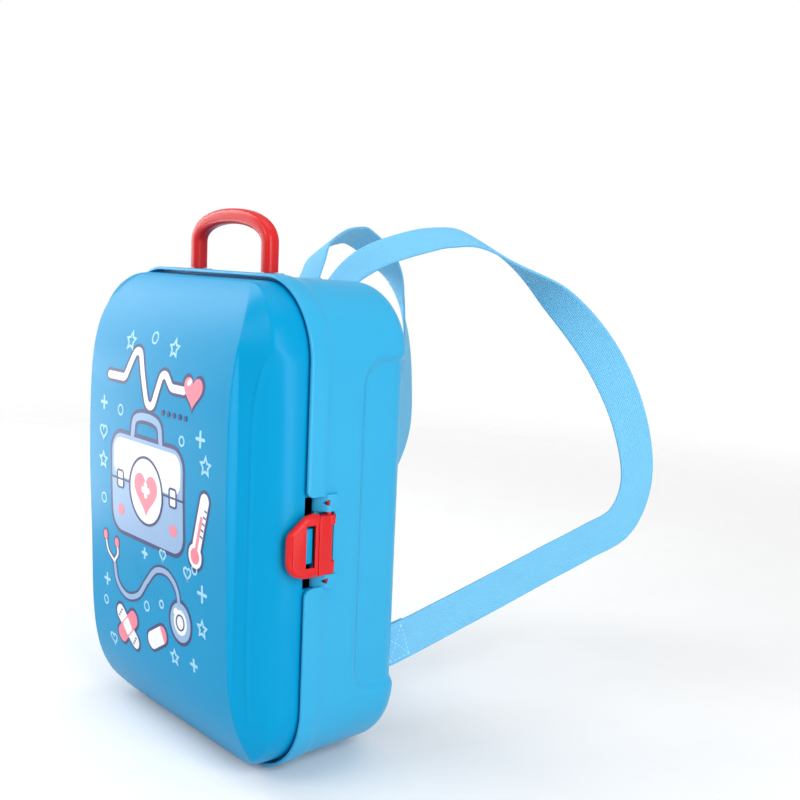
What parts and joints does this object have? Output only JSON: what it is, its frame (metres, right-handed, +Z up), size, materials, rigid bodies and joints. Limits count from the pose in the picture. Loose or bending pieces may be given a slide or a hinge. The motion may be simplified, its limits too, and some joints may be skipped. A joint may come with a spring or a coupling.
{
  "type": "toy doctor backpack",
  "caption": "Hard-shell toy backpack for a play doctor set: deep shell, domed lid on a side hinge, side latch, carrying handle and two webbing shoulder straps.",
  "frame": {"origin": "middle of the flat underside of the rim band, on the centre plane", "axes": "+X across the case towards the latch, -Y out of the lid, +Y towards the wearer, +Z up towards the handle"},
  "size_m": [0.2516, 0.3066, 0.3165],
  "materials": {
    "shell": "moulded light blue plastic, satin gloss",
    "lid": "moulded light blue plastic, satin gloss, with a printed pattern",
    "red_plastic": "moulded red plastic, satin gloss",
    "webbing": "woven light blue webbing",
    "steel": "plain bright steel",
    "bar": "plain pale plastic rod"
  },
  "bodies": {
    "case": {"handle": "red_plastic", "handle_screw_left": "steel", "handle_screw_right": "steel", "handle_washer_left": "steel", "handle_washer_right": "steel", "hinge_pin_lower": "steel", "hinge_pin_upper": "steel", "latch_pin": "red_plastic", "rear_shell": "shell", "strap_bar_lower_left": "bar", "strap_bar_lower_right": "bar", "strap_bar_upper_left": "bar", "strap_bar_upper_right": "bar", "strap_left": "webbing", "strap_right": "webbing"},
    "lid": {"front_lid": "lid"},
    "latch": {"latch": "red_plastic"}
  },
  "joints": [
    {"name": "lid_hinge", "type": "hinge", "parent": "case", "child": "lid", "pos_m": [-0.1097, -0.0075, 0.14], "axis": [0, 0, -1], "range_deg": [0, 170]},
    {"name": "latch_hinge", "type": "hinge", "parent": "case", "child": "latch", "pos_m": [0.1045, 0.0081, 0.138], "axis": [0, 0, 1], "range_deg": [0, 110]}
  ]
}
